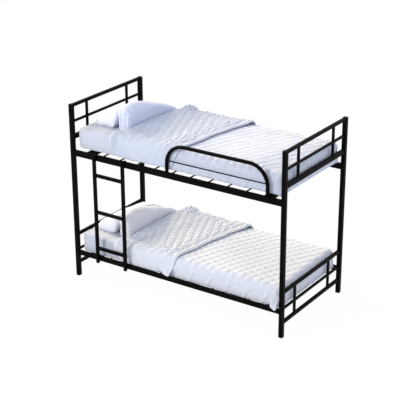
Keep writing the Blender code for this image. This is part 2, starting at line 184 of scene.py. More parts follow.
# Both pillows
PILLOW_STATIONS = 48
PILLOW_AROUND = 56
PILLOW_CLEAR = 0.001  # above the mattress, as it is drawn
PILLOW_BOTTOM = 0.0008  # and once it is swelled
PILLOW_SHIFT = {"upper": 0.0, "lower": -0.030}  # along their length
PILLOW_LIMITS = {"front": (-0.706, -0.5505), "back": (-0.952, -0.709)}  # along the bed
PILLOW_VOXEL = 0.006
PILLOW_PRESSURE = 4.0
PILLOW_SHRINK = -0.03
PILLOW_SWELL = 0.010  # the furthest that the simulation may move a point
GATHERS_AT_END = {"front": 0.0050, "back": 0.0022}
GATHERS_AT_END_PITCH = 0.041
GATHERS_AT_END_DEPTH = 0.06
SIM_FRAMES = 20

# Woven cotton: its darker and its lighter tone, how close the threads lie, and how deep its creases are.
# The blue tint of all of them is painted shade, standing in for the bluish light in the shadows
COTTON_WITH_PAINTED_SHADING = {
    "sheet": ((0.42, 0.465, 0.585), (0.44, 0.485, 0.605), 420.0, 0.10),
    # The upper quilt is a darker, bluer copy of the lower one: painted shade
    "upper_quilt": ((0.44, 0.49, 0.635), (0.46, 0.51, 0.655), 380.0, 0.06),
    "lower_quilt": ((0.52, 0.56, 0.67), (0.54, 0.58, 0.69), 380.0, 0.06),
    # The upper pillow is a bluer copy of the lower one, as painted shade, and the back pillow is made
    # lighter, as painted light
    "upper_pillow": ((0.52, 0.58, 0.76), (0.54, 0.60, 0.78), 420.0, 0.12),
    "lower_pillow": ((0.55, 0.57, 0.66), (0.57, 0.59, 0.68), 420.0, 0.12),
    "back_pillow": ((0.62, 0.65, 0.76), (0.64, 0.67, 0.78), 420.0, 0.12),
}

# Camera: its place, from the middle of the frame's width, and its azimuth, elevation and roll in degrees
CAMERA_PLACE = (5.18211, -7.70918, 4.59166)
CAMERA_ANGLES = (33.8235, 22.7475, -0.1345)
CAMERA_LENS = 104.496
CAMERA_SENSOR = 36.0
CAMERA_REACH = 100.0

# Suns, and area lights: place, target, size, power in watts, colour and spread in degrees
SUN_POWER = {"upper_key": 2.8, "lower_key": 4.6}
SUN_DIRECTION = (0.72, -0.22, -0.36)
SUN_ANGLE = 20
SUN_COLOUR = (1.0, 0.80, 0.45)
AREA_LIGHTS = {
    "foot_key": ((-1.60, 0.66, 2.60), (0.56, 0.0, 1.34), (1.7, 0.46), 1.10, (1.0, 0.84, 0.55), 14.0),
    "front_fill": ((-3.0, -5.8, 3.2), (0.0, 0.0, 0.9), (1.6, 1.6), 230.0, (1.0, 0.92, 0.79), 180.0),
    "between_bunks": ((0.1, 0.0, 1.09), (0.1, 0.0, 0.0), (1.6, 0.8), 1.8, (1.0, 0.93, 0.80), 180.0),
}
FLOOR_SIZE = 40.0
FLOOR_Z = -0.0005


# ---------------------------------------------------------------- materials


def node_material(name):
    material = bpy.data.materials.new(name)
    material.use_nodes = True
    return material, material.node_tree, material.node_tree.nodes["Principled BSDF"]


def add_noise(tree, coordinates, scale, detail, roughness=0.5):
    noise = tree.nodes.new("ShaderNodeTexNoise")
    noise.inputs["Scale"].default_value = scale
    noise.inputs["Detail"].default_value = detail
    noise.inputs["Roughness"].default_value = roughness
    tree.links.new(coordinates, noise.inputs["Vector"])
    return noise.outputs["Fac"]


def add_ramp(tree, factor, low, high, low_at=0.3, high_at=0.7):
    ramp = tree.nodes.new("ShaderNodeValToRGB")
    ramp.color_ramp.elements[0].position = low_at
    ramp.color_ramp.elements[0].color = (*low, 1.0)
    ramp.color_ramp.elements[1].position = high_at
    ramp.color_ramp.elements[1].color = (*high, 1.0)
    tree.links.new(factor, ramp.inputs["Fac"])
    return ramp.outputs["Color"]


def add_map(tree, factor, low, high):
    scaled = tree.nodes.new("ShaderNodeMapRange")
    scaled.inputs["To Min"].default_value = low
    scaled.inputs["To Max"].default_value = high
    tree.links.new(factor, scaled.inputs["Value"])
    return scaled.outputs["Result"]


def add_bump(tree, height, strength, distance, normal=None):
    bump = tree.nodes.new("ShaderNodeBump")
    bump.inputs["Strength"].default_value = strength
    bump.inputs["Distance"].default_value = distance
    tree.links.new(height, bump.inputs["Height"])
    if normal is not None:
        tree.links.new(normal, bump.inputs["Normal"])
    return bump.outputs["Normal"]


def object_coordinates(tree):
    return tree.nodes.new("ShaderNodeTexCoord").outputs["Object"]


def steel_material():
    """Black powder coat on steel: a fine orange peel and slightly uneven gloss."""
    material, tree, shader = node_material("powder_coated_steel")
    place = object_coordinates(tree)
    cloud = add_noise(tree, place, 9.0, 3.0)
    black = add_ramp(tree, cloud, (0.0010, 0.0010, 0.0011), (0.0022, 0.0022, 0.0024))
    tree.links.new(black, shader.inputs["Base Color"])
    gloss = add_map(tree, add_noise(tree, place, 42.0, 4.0), 0.40, 0.56)
    tree.links.new(gloss, shader.inputs["Roughness"])
    shader.inputs["Metallic"].default_value = 0.0
    shader.inputs["Specular IOR Level"].default_value = 0.03
    peel = add_noise(tree, place, 900.0, 2.0)
    tree.links.new(add_bump(tree, peel, 0.12, 0.0004), shader.inputs["Normal"])
    return material


def plastic_material():
    """Moulded black polythene, matt, with a fine grain."""
    material, tree, shader = node_material("moulded_plastic")
    place = object_coordinates(tree)
    cloud = add_noise(tree, place, 60.0, 2.0)
    black = add_ramp(tree, cloud, (0.006, 0.006, 0.006), (0.012, 0.012, 0.012))
    tree.links.new(black, shader.inputs["Base Color"])
    tree.links.new(add_map(tree, cloud, 0.6, 0.75), shader.inputs["Roughness"])
    grain = add_noise(tree, place, 1600.0, 2.0)
    tree.links.new(add_bump(tree, grain, 0.2, 0.0003), shader.inputs["Normal"])
    return material


def cloth_material(name, dark, light, thread, creases):
    """Woven cotton: crossing threads in the bump, faint creases and a very slight change of shade."""
    material, tree, shader = node_material(name)
    place = object_coordinates(tree)
    cloud = add_noise(tree, place, 5.0, 4.0)
    tree.links.new(add_ramp(tree, cloud, dark, light), shader.inputs["Base Color"])
    shader.inputs["Roughness"].default_value = 0.88
    shader.inputs["Specular IOR Level"].default_value = 0.22
    shader.inputs["Sheen Weight"].default_value = 0.25
    shader.inputs["Sheen Roughness"].default_value = 0.45
    normal = add_bump(tree, add_noise(tree, place, 16.0, 3.0, 0.55), creases, 0.004)
    for direction in ("X", "Y", "Z"):
        weave = tree.nodes.new("ShaderNodeTexWave")
        weave.bands_direction = direction
        weave.inputs["Scale"].default_value = thread
        weave.inputs["Distortion"].default_value = 0.6
        tree.links.new(place, weave.inputs["Vector"])
        normal = add_bump(tree, weave.outputs["Fac"], 0.10, 0.0004, normal)
    tree.links.new(normal, shader.inputs["Normal"])
    return material


def floor_material():
    """A plain pale floor that gives off nearly all its brightness itself."""
    material, tree, shader = node_material("studio_floor")
    place = object_coordinates(tree)
    shade = add_ramp(tree, add_noise(tree, place, 0.7, 2.0), (0.018, 0.018, 0.018), (0.022, 0.022, 0.022))
    tree.links.new(shade, shader.inputs["Base Color"])
    shader.inputs["Roughness"].default_value = 0.9
    shader.inputs["Specular IOR Level"].default_value = 0.0
    shader.inputs["Emission Color"].default_value = (1.0, 1.0, 1.0, 1.0)
    shader.inputs["Emission Strength"].default_value = 0.978
    return material


# ---------------------------------------------------------------- mesh helpers


def finish_mesh(name, points, faces, material):
    mesh = bpy.data.meshes.new(name)
    mesh.from_pydata([tuple(p) for p in points], [], faces)
    mesh.update()
    mesh.shade_smooth()
    mesh.materials.append(material)
    piece = bpy.data.objects.new(name, mesh)
    bpy.context.scene.collection.objects.link(piece)
    return piece


def face_outwards(piece):
    shape = bmesh.new()
    shape.from_mesh(piece.data)
    bmesh.ops.recalc_face_normals(shape, faces=shape.faces)
    shape.to_mesh(piece.data)
    shape.free()
    piece.data.shade_smooth()


def smooth_step(low, high, value):
    t = np.clip((value - low) / (high - low), 0.0, 1.0)
    return t * t * (3 - 2 * t)


def bell(value, centre, width):
    return np.exp(-(((value - centre) / width) ** 2))


def closed_grid(grid, half):
    """Points and faces of a closed sheet: a grid of middle points, thickened both ways along its normals.

    half holds how far its upper and its lower face lie from the grid.
    """
    rows, columns = grid.shape[:2]
    along = np.gradient(grid, axis=0)
    across = np.gradient(grid, axis=1)
    normal = np.cross(along, across)
    normal /= np.maximum(np.linalg.norm(normal, axis=2, keepdims=True), 1e-9)
    upper = grid + normal * half[0][..., None]
    lower = grid - normal * half[1][..., None]
    points = np.concatenate([upper.reshape(-1, 3), lower.reshape(-1, 3)])
    index = np.arange(rows * columns).reshape(rows, columns)
    a, b, c, d = index[:-1, :-1], index[1:, :-1], index[1:, 1:], index[:-1, 1:]
    top = np.stack([a, b, c, d], axis=-1).reshape(-1, 4)
    bottom = np.stack([d, c, b, a], axis=-1).reshape(-1, 4) + rows * columns
    rim = np.concatenate([index[:-1, 0], index[-1, :-1], index[:0:-1, -1], index[0, :0:-1]])
    after = np.roll(rim, -1)
    edge = np.stack([after, rim, rim + rows * columns, after + rows * columns], axis=-1)
    return points, np.concatenate([top, bottom, edge]).tolist()


def ring_faces(rings):
    """The faces between closed rings of points that lie one after another."""
    count = len(rings[0])
    faces = []
    for r in range(len(rings) - 1):
        for i in range(count):
            j = (i + 1) % count
            faces.append((r * count + i, r * count + j, (r + 1) * count + j, (r + 1) * count + i))
    return faces


# ---------------------------------------------------------------- bunk


class Bunk:
    """Where one bunk's mattress lies, and the names of what rides on it."""

    def __init__(self, tier):
        low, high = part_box(f"{tier}_mattress")
        self.tier = tier
        self.body = f"{tier}_mattress_set"
        self.head_x, self.foot_x = low.x, high.x
        self.bottom, self.top = low.z, high.z
        self.middle_y = (low.y + high.y) / 2
        self.half_width = (high.y - low.y) / 2


# ---------------------------------------------------------------- mattress


def mattress_levels(thick):
    """How far in each ring of the mattress lies and how high, from its bottom face to its top face."""
    turn = np.linspace(0, math.pi / 2, EDGE_RINGS)
    inset = 1 - np.sin(turn)
    rise = 1 - np.cos(turn)
    side = np.linspace(MATTRESS_BOTTOM_EDGE, thick - MATTRESS_EDGE, SIDE_RINGS + 2)[1:-1]
    levels = [(MATTRESS_BOTTOM_EDGE * i, MATTRESS_BOTTOM_EDGE * r) for i, r in zip(inset, rise)]
    levels += [(0.0, z) for z in side]
    levels += [(MATTRESS_EDGE * i, thick - MATTRESS_EDGE * r) for i, r in zip(inset[::-1], rise[::-1])]
    return levels


def rounded_outline(half_x, half_y, radius):
    """Points round a rectangle with rounded corners."""
    outline = []
    for corner, (side_x, side_y) in enumerate(CORNERS):
        centre_x, centre_y = side_x * (half_x - radius), side_y * (half_y - radius)
        for step in range(CORNER_POINTS):
            angle = (corner + step / CORNER_POINTS) * math.pi / 2
            outline.append((centre_x + radius * math.cos(angle), centre_y + radius * math.sin(angle)))
        angle = (corner + 1) * math.pi / 2
        start_x, start_y = centre_x + radius * math.cos(angle), centre_y + radius * math.sin(angle)
        next_x, next_y = CORNERS[(corner + 1) % 4]
        if corner % 2 == 0:
            end_x, end_y = next_x * (half_x - radius), next_y * half_y
            count = LONG_SIDE_POINTS
        else:
            end_x, end_y = next_x * half_x, next_y * (half_y - radius)
            count = SHORT_SIDE_POINTS
        for step in range(count):
            t = step / count
            outline.append((start_x + (end_x - start_x) * t, start_y + (end_y - start_y) * t))
    return np.array(outline)


def close_ends(piece):
    """Fills the open bottom and top of a piece, with a narrow ring of faces round each."""
    shape = bmesh.new()
    shape.from_mesh(piece.data)
    bmesh.ops.holes_fill(shape, edges=[edge for edge in shape.edges if edge.is_boundary], sides=0)
    for cap in [face for face in shape.faces if len(face.verts) > 4]:
        bmesh.ops.inset_region(shape, faces=[cap], thickness=CAP_INSET, use_even_offset=True)
    bmesh.ops.triangulate(shape, faces=[face for face in shape.faces if len(face.verts) > 4])
    shape.to_mesh(piece.data)
    shape.free()


def make_mattress(bunk, material):
    """A foam block in a fitted sheet: full sides, rolled edges, a seam round each and faint ripples."""
    half_x = (bunk.foot_x - bunk.head_x) / 2
    thick = bunk.top - bunk.bottom
    centre = np.array([(bunk.head_x + bunk.foot_x) / 2, bunk.middle_y])
    rings = []
    for pull, z in mattress_levels(thick):
        half = np.array([half_x - pull, bunk.half_width - pull])
        outline = rounded_outline(half[0], half[1], MATTRESS_CORNER - pull)
        x, y = outline[:, 0], outline[:, 1]
        outward = np.sign(outline) * np.abs(outline / half) ** 30
        level = z / thick
        fullness = math.sin(math.pi * level)
        swell = MATTRESS_BULGE * fullness**0.7
        swell -= SEAM_DEPTH * (bell(z, SEAM_INSET, SEAM_WIDTH) + bell(z, thick - SEAM_INSET, SEAM_WIDTH))
        ripple = SHEET_RIPPLE * np.sin(x * 31 + 3 * level) * np.sin(x * 12.7 + y * 9 + 1.3)
        outline = outline + outward * (swell + ripple * fullness)[:, None]
        rings.append(np.column_stack([outline + centre, np.full(len(outline), bunk.bottom + z)]))
    points = np.concatenate(rings)
    mattress = finish_mesh(f"{bunk.tier}_mattress_cover", points, ring_faces(rings), material)
    close_ends(mattress)
    face_outwards(mattress)
    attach(mattress, bunk.body)
    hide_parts(f"{bunk.tier}_mattress")


# ---------------------------------------------------------------- quilt


def over_edges(bunk, x, y, lift):
    """A cloth point laid flat at (x, y) on the mattress, bent down over its sides and its foot."""
    edge_x = bunk.foot_x - QUILT_TURN
    edge_y = bunk.half_width - QUILT_TURN
    beyond_x = np.maximum(x - edge_x, 0.0)
    beyond_y = np.sign(y) * np.maximum(np.abs(y) - edge_y, 0.0)
    distance = np.hypot(beyond_x, beyond_y)
    safe = np.maximum(distance, 1e-9)
    angle = np.minimum(distance / QUILT_TURN, math.pi / 2)
    hang = np.maximum(distance - QUILT_TURN * math.pi / 2, 0.0)
    reach = (QUILT_TURN + lift) * np.sin(angle)
    point_x = np.minimum(x, edge_x) + beyond_x / safe * reach
    point_y = bunk.middle_y + np.clip(y, -edge_y, edge_y) + beyond_y / safe * reach
    point_z = bunk.top - QUILT_TURN + (QUILT_TURN + lift) * np.cos(angle) - hang
    return np.stack([point_x, point_y, point_z], axis=-1)


def round_corner(bunk, x, y, drop_x, drop_y, tip):
    """Moves cloth points at a foot corner so that the hem runs round it at an even height, plus a tip."""
    edge_x = bunk.foot_x - QUILT_TURN
    edge_y = bunk.half_width - QUILT_TURN
    beyond_x = np.maximum(x - edge_x, 0.0)
    beyond_y = np.maximum(np.abs(y) - edge_y, 0.0)
    corner = (beyond_x > 0) & (beyond_y > 0)
    u = np.where(corner, beyond_x / drop_x, 1e-6)
    v = np.where(corner, beyond_y / drop_y, 1e-6)
    ratio = np.where(u >= v, v / np.maximum(u, 1e-6) * 0.5, 1 - u / np.maximum(v, 1e-6) * 0.5)
    angle = ratio * math.pi / 2
    reach = np.maximum(u, v) * (drop_x * np.cos(angle) ** 2 + drop_y * np.sin(angle) ** 2)
    reach *= 1 + tip * np.sin(2 * angle) ** 3
    new_x = np.where(corner, edge_x + reach * np.cos(angle), x)
    new_y = np.where(corner, np.sign(y) * (edge_y + reach * np.sin(angle)), y)
    return new_x, new_y, np.where(corner, np.sin(2 * angle), 0.0)


def patchwork(u, v):
    """Height of the stitched patches, from 0 on the seams to 1 in the middle of each one."""
    across = (u * math.cos(PATCH_TURN) + v * math.sin(PATCH_TURN)) / PATCH
    along = (-u * math.sin(PATCH_TURN) + v * math.cos(PATCH_TURN)) / PATCH
    return (np.abs(np.sin(math.pi * across)) * np.abs(np.sin(math.pi * along))) ** 0.6


def fold_and_hem_lines(bunk, y, drop, pillow_end):
    """Where the quilt is turned back, and where its turned-down part ends, for each line along the bed."""
    front_drop = np.where(y < 0, drop, 0)
    beside_pillow = smooth_step(pillow_end - 0.012, pillow_end - 0.130, y)
    fold_x = FOLD_X + (FOLD_X_FRONT - FOLD_X) * beside_pillow
    fold_x = fold_x + FOLD_SHIFT_BACK * smooth_step(0.30, 0.46, y) + FOLD_SHIFT_DROP * front_drop**2.2
    middle, slope, shift = HEM_X[bunk.tier]
    hem_x = middle + slope * np.clip(y, -HEM_STRAIGHT, HEM_STRAIGHT) + shift * front_drop
    return fold_x, hem_x + HEM_WANDER * np.sin(y * 21.0)


def along_the_bed(rows, start, fold_x, hem_x, radius):
    """The quilt's points from its foot hem to its fold, round the fold, and back down to its head hem.

    Gives where they lie along the bed, which layer they are in, from 0 to 1, and how far along the cloth.
    """
    main = np.linspace(0, 1, rows[0])[:, None]
    turn = np.linspace(0, 1, rows[1] + 2)[1:-1, None]
    down = np.linspace(0, 1, rows[2])[:, None]
    level = 0 * fold_x
    to_fold = start - fold_x
    x = [
        start + (fold_x - start) * main,
        fold_x - radius * np.sin(math.pi * turn),
        fold_x + (hem_x - fold_x) * down,
    ]
    layer = [level + 0 * main, level + (1 - np.cos(math.pi * turn)) / 2, level + 1 + 0 * down]
    cloth = [
        to_fold * main,
        to_fold + radius * math.pi * turn,
        to_fold + radius * math.pi + (hem_x - fold_x) * down,
    ]
    return np.concatenate(x), np.concatenate(layer), np.concatenate(cloth)


def turned_down_folds(bunk, x, y, hem_distance, top, pillow_end):
    """How far the turned-down part stands off: gathers, pleats beside its hem, and crumpled corners."""
    near_pillow = smooth_step(-0.05, -0.47, x)
    wander = 0.55 * np.sin(y * 11.0 + 1.0 + 4.0 * x) + 0.35 * np.sin(y * 27.0 + x * 15.0)
    gathers = np.sin(2 * math.pi * x / GATHER_PITCH + wander)
    lift = top * (0.50 + 0.50 * near_pillow) * GATHER_HEIGHT[bunk.tier] * gathers
    billows = np.sin(x * 38.0 + 2.2 * y + 0.6) * np.sin(y * 9.0 + 0.7)
    lift = lift + top * near_pillow * BILLOW_HEIGHT * billows

    pleats = np.sin(2 * math.pi * hem_distance / PLEAT_PITCH + 0.5 * np.sin(y * 7.0))
    beside_hem = smooth_step(0.24, 0.12, hem_distance) * smooth_step(0.045, 0.070, hem_distance)
    lift = lift + top * beside_hem * PLEAT_HEIGHT * pleats

    back_edge = smooth_step(0.35, 0.41, y) * (1 - smooth_step(0.43, 0.50, y))
    lift = lift + back_edge * SCALLOP_HEIGHT * np.abs(np.sin(math.pi * x / SCALLOP_PITCH))
    crumple = bell(x, CRUMPLE_PLACE[0], CRUMPLE_SIZE[0]) * bell(y, CRUMPLE_PLACE[1], CRUMPLE_SIZE[1])
    ripples = np.sin(2 * math.pi * (x + 0.35 * y) / CRUMPLE_PITCH)
    lift = lift + crumple * (CRUMPLE_HEIGHT + CRUMPLE_RIPPLE * ripples)
    lift = lift + smooth_step(0.24, 0.43, y) * top * smooth_step(-0.05, 0.15, x) * HEM_END_LIFT
    creases = smooth_step(-0.36, -0.54, x) * bell(y, pillow_end - PILLOW_TO_CREASES, CREASE_WIDTH)
    return lift + creases * CREASE_HEIGHT * np.sin(y * 95.0 + x * 40.0)


def side_panels(x, y, layer, hang, footness, edgeness, press):
    """Plain panels with arched, corded tops on the sides, parted by slanting ridges.

    Gives how far they stand off, and where the cloth is plain, from 0 to 1.
    """
    panel = ((np.where(footness > 0.5, FOOT_PANELS * y, x) + PANEL_SLANT * hang) / PANEL) % 1.0
    ridge = bell(np.minimum(panel, 1 - panel), 0.0, 0.085)
    arch = hang - (0.02 + 0.60 * (2 * np.abs(panel - 0.5)) ** 2.2)
    cord = (1 - layer) * edgeness * CORD_HEIGHT * bell(arch, 0.0, 0.060)
    ridge = (1 - 0.6 * layer) * hang**0.5 * edgeness * (1 - press) * RIDGE_HEIGHT * ridge
    return cord + ridge, smooth_step(-0.05, 0.03, arch) * edgeness


def quilt_thickness(bunk, cloth, y, layer, edgeness, plain, hem_distance, bare):
    """How far its two faces are from the middle surface: stitched patches, and a band along its head hem.

    plain and bare, from 0 to 1, say where the cloth has no patches and where its inner face is seen.
    """
    softening = 1 - SIDE_SOFTENING * edgeness
    puff = patchwork(cloth, y) * (1 - plain) * softening
    band = smooth_step(HEM_BAND + 0.008, HEM_BAND - 0.002, hem_distance)
    bolster = np.sqrt(np.clip(1 - ((hem_distance - HEM_BAND / 2) / (HEM_BAND / 2)) ** 2, 0, 1))
    flat = QUILT_HALF + (QUILT_HALF_SIDE - QUILT_HALF) * edgeness - (PATCH_PUFF / 2) * softening
    seen = puff * PATCH_PUFF * (1 - band) * (1 + (TURNED_PATCHES[bunk.tier] - 1) * layer)
    hidden = puff * HIDDEN_PUFF
    outer = flat + layer * seen + (1 - layer) * hidden
    outer = outer + band * BAND_PUFF * bolster * (1 - 0.8 * edgeness)
    inner = flat + (1 - layer) * bare * seen + (1 - (1 - layer) * bare) * hidden
    stitching = bell(hem_distance, HEM_BAND + 0.003, 0.0075)
    return outer * (1 - 0.80 * stitching), inner * (1 - 0.30 * stitching)


def over_the_rail(bunk, grid, layer, hang, hem_distance):
    """Brings the front hem over the side rail at the foot corner and at the turned-down part's end."""
    rail_low, rail_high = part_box(f"{bunk.tier}_front_side_rail")
    x, y, z = grid[..., 0], grid[..., 1], grid[..., 2]
    start, lowest, end = RAIL_TIP
    edge_x = bunk.foot_x - QUILT_TURN
    edge_y = bunk.middle_y - bunk.half_width + QUILT_TURN
    round_the_corner = np.arctan2(x - edge_x, np.maximum(edge_y - y, 1e-6))
    place = np.where(x > edge_x, edge_x + (QUILT_TURN + QUILT_LIFT_SIDE) * round_the_corner, x)

    first_layer = layer < 0.01
    out = smooth_step(start, start + 0.020, place) * (1 - smooth_step(end - 0.015, end, place))
    near = smooth_step(start - 0.030, start - 0.010, place)
    near = near * (1 - smooth_step(end + 0.005, end + 0.020, place))
    point = np.maximum(1 - np.abs(place - lowest) / RAIL_TIP_HALF, 0) * first_layer
    hem_end = np.where(layer > 0.5, smooth_step(0.10, 0.03, hem_distance), 0)
    near_hem_end = np.where(layer > 0.5, smooth_step(0.15, 0.11, hem_distance), 0)
    out = np.maximum(out * first_layer, HEM_END_REACH * hem_end)
    near = np.maximum(near * first_layer, near_hem_end)

    rise = (rail_high.z + RAIL_CLEAR - (bunk.top - FRONT_DROP)) * near - RAIL_TIP_DROP * point
    moved_y = y + (rail_low.y - RAIL_STAND_OFF - y) * out * smooth_step(0.25, 0.82, hang)
    moved_z = z + rise * hang
    front = y < edge_y
    return np.stack([x, np.where(front, moved_y, y), np.where(front, moved_z, z)], axis=-1)


def make_quilt(bunk, material, pillow_end):
    """A quilted bedspread, one closed sheet from its foot hem up over the bed, turned back at the head."""
    turn_length = QUILT_TURN * math.pi / 2
    side_length = turn_length + FRONT_DROP - QUILT_TURN
    foot_length = turn_length + FOOT_DROP - QUILT_TURN
    edge_y = bunk.half_width - QUILT_TURN
    edge_x = bunk.foot_x - QUILT_TURN
    half_cloth = edge_y + side_length
    columns = int(round(2 * half_cloth / QUILT_STEP)) + 1
    y_line = np.linspace(-half_cloth, half_cloth, columns)[None, :]
    sideness = smooth_step(0.15, 1.0, (np.abs(y_line) - edge_y) / turn_length)
    drop = np.clip((np.abs(y_line) - edge_y) / side_length, 0, 1)
    front = np.where(y_line < 0, sideness, 0)

    fold_x, hem_x = fold_and_hem_lines(bunk, y_line, drop, pillow_end)
    start = edge_x + foot_length
    hem_middle = HEM_X[bunk.tier][0]
    rows = (int((start - FOLD_X) / QUILT_STEP), FOLD_ROWS, int((hem_middle - FOLD_X) / GATHER_STEP))
    rise = FOLD_RISE + (FOLD_RISE_SIDE - FOLD_RISE) * sideness
    roll = np.where(y_line < 0, ROLL[bunk.tier] * bell(drop, 0.34, 0.26), 0)
    x, layer, cloth = along_the_bed(rows, start, fold_x, hem_x, (rise + roll) / 2)
    y, sideness, front, hem_x = (np.broadcast_to(v, x.shape) for v in (y_line, sideness, front, hem_x))
    hem_distance = np.where(layer >= 1, hem_x - x, FAR)

    # The front and back hems rise and fall a little; the foot corners are rounded
    rise_and_fall = 0.022 * np.sin(x * 12.5 + 0.7) + 0.014 * np.sin(x * 29.0 + 2.0)
    sag = 1 + rise_and_fall * (1 - smooth_step(0.78, 0.86, x))
    y_sagged = np.where(np.abs(y) > edge_y, edge_y + (np.abs(y) - edge_y) * sag, np.abs(y))
    y_sagged = np.sign(y) * y_sagged
    tip = CORNER_TIP[bunk.tier]
    x_flat, y_flat, corner = round_corner(bunk, x, y_sagged, foot_length, side_length, tip)
    footness = smooth_step(0.15, 1.0, (x_flat - edge_x) / turn_length)
    edgeness = np.maximum(sideness, footness)
    top = 1 - edgeness
    hang = np.maximum(np.abs(y) - edge_y, x_flat - edge_x) - turn_length
    hang = np.clip(hang / (FRONT_DROP - QUILT_TURN), 0, 1)

    # The middle surface: crowned, with slow waves on top, and swinging out a little where it hangs
    crown = QUILT_CROWN * np.clip(1 - (y / bunk.half_width) ** 2, 0, 1)
    lift = QUILT_LIFT + crown * np.clip((edge_x + CROWN_FADE[0] - x) / CROWN_FADE[1], 0, 1)
    rise = rise + roll * bell(x - fold_x, 0.0, ROLL_WIDTH)
    lift = lift + (QUILT_LIFT_SIDE - lift) * edgeness + layer * rise
    lift = lift + top * QUILT_WAVE * np.sin(x * 9.0 + 2.0 * y) * np.sin(y * 8.0 + 1.1)
    lift = lift + layer * turned_down_folds(bunk, x, y, hem_distance, top, pillow_end)
    lift = lift + hang * sideness * SWING * (1.3 + np.sin(x * 36.0 + 0.8))
    lift = lift + corner**2 * hang * CORNER_LIFT
    lift = lift + front * FLARE * bell(hang, 0.30, 0.32) * smooth_step(-0.46, -0.63, x)
    press = front * hang * bell(x, HOOK_X, HOOK_WIDTH)
    slanting = np.sin(2 * math.pi * (x - SLANT * hang) / SLANT_PITCH) ** 3
    lift = lift + layer * front * hang**0.5 * (1 - press) * SLANT_HEIGHT * slanting
    lift = lift - layer * press * HOOK_PRESS
    panels, plain = side_panels(x, y, layer, hang, footness, edgeness, press)
    grid = over_edges(bunk, x_flat, y_flat, lift + panels)
    if bunk.tier == "lower":
        grid = over_the_rail(bunk, grid, layer, hang, hem_distance)

    # Its faces, thinner towards its rolled hems and round the fold
    bare = smooth_step(-0.02, 0.01, x - hem_x)
    outer, inner = quilt_thickness(bunk, cloth, y, layer, edgeness, plain, hem_distance, bare)
    ends = np.minimum(cloth - cloth[:1], cloth[-1:] - cloth)
    sides = half_cloth - np.abs(y)
    rim = 0.25 + 0.75 * np.sqrt(np.clip(np.minimum(ends, sides) / ROLLED_HEM, 0, 1))
    rim = rim * (1 - 0.35 * np.sin(math.pi * np.clip(layer, 0, 1)))
    points, faces = closed_grid(grid, (outer * rim, inner * rim))
    quilt = finish_mesh(f"{bunk.tier}_bedspread", points, faces, material)
    face_outwards(quilt)
    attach(quilt, bunk.body)
    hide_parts(*[node for node in frame["nodes"] if node.startswith(f"{bunk.tier}_quilt")])


# ---------------------------------------------------------------- pillows


def section(power):
    """A closed curve round the origin: a box with rounded corners for a low power, an ellipse for 1."""
    turn = np.linspace(0, 2 * math.pi, PILLOW_AROUND, endpoint=False)
    across = np.sign(np.cos(turn)) * np.abs(np.cos(turn)) ** power
    rise = np.sign(np.sin(turn)) * np.abs(np.sin(turn)) ** power
    return across, rise


def bluntness(distance, length):
    """From 0 at the end of a pillow to 1 where its rounding stops."""
    return math.sqrt(max(1 - (1 - min(distance / length, 1.0)) ** 2, 0.0))


def pillow_ring(bunk, x, y, z):
    return np.stack([x, np.full(len(x), bunk.middle_y + y), bunk.top + PILLOW_CLEAR + z], axis=-1)


def front_pillow_rings(bunk, shift):
    """A plump pillow on its long edge: full at the ladder end, sloping to a thin corner at the back."""
    rings = []
    for t in np.linspace(0, 1, PILLOW_STATIONS):
        y = PILLOW_FRONT_END + (PILLOW_BACK_END - PILLOW_FRONT_END) * t
        across, rise = section(0.40 + 0.22 * smooth_step(0.05, 0.40, t))
        blunt = bluntness(t, 0.030)
        tall = float(np.interp(y, *FRONT_PILLOW_HEIGHTS)) * (0.92 + 0.08 * blunt)
        thick = float(np.interp(y, *FRONT_PILLOW_THICKNESSES)) * (0.86 + 0.14 * blunt)
        middle = FRONT_PILLOW_X + FRONT_PILLOW_BEND * max(t - 0.35, 0)
        level = 0.5 + 0.5 * rise
        x = middle + thick / 2 * across * (1 - 0.20 * level**3)
        x = x - FRONT_PILLOW_LEAN * level**2 * tall / 0.2
        rings.append(pillow_ring(bunk, x, y + shift, tall * level))
    return rings


def back_pillow_rings(bunk, shift):
    """A pillow lying tilted, low towards the head and high where the front one leans on it."""
    across, rise = section(0.66)
    rings = []
    for t in np.linspace(0, 1, PILLOW_STATIONS):
        y = BACK_PILLOW_Y[0] + (BACK_PILLOW_Y[1] - BACK_PILLOW_Y[0]) * t
        blunt = bluntness(min(t, 1 - t), 0.12)
        tall = BACK_PILLOW_HEIGHT * (0.30 + 0.70 * blunt) * (1 - 0.45 * smooth_step(0.35, 1.0, t))
        u = 0.5 + 0.5 * across * (0.86 + 0.14 * blunt)
        x = BACK_PILLOW_X[0] + (BACK_PILLOW_X[1] - BACK_PILLOW_X[0]) * u
        top_edge = tall * (0.22 + 0.78 * np.clip(u, 0, 1) ** 0.6)
        rings.append(pillow_ring(bunk, x, y + shift, top_edge * (0.5 + 0.5 * rise)))
    return rings


def positions(mesh):
    flat = np.zeros(len(mesh.vertices) * 3, np.float32)
    mesh.vertices.foreach_get("co", flat)
    return flat.reshape(-1, 3)


def set_positions(mesh, points):
    mesh.vertices.foreach_set("co", np.asarray(points, np.float32).reshape(-1))
    mesh.update()


def apply_modifiers(piece):
    graph = bpy.context.evaluated_depsgraph_get()
    mesh = bpy.data.meshes.new_from_object(piece.evaluated_get(graph))
    piece.modifiers.clear()
    old = piece.data
    piece.data = mesh
    bpy.data.meshes.remove(old)


def remesh(piece):
    modifier = piece.modifiers.new("even", "REMESH")
    modifier.mode = "VOXEL"
    modifier.voxel_size = PILLOW_VOXEL
    modifier.use_smooth_shade = True
    apply_modifiers(piece)


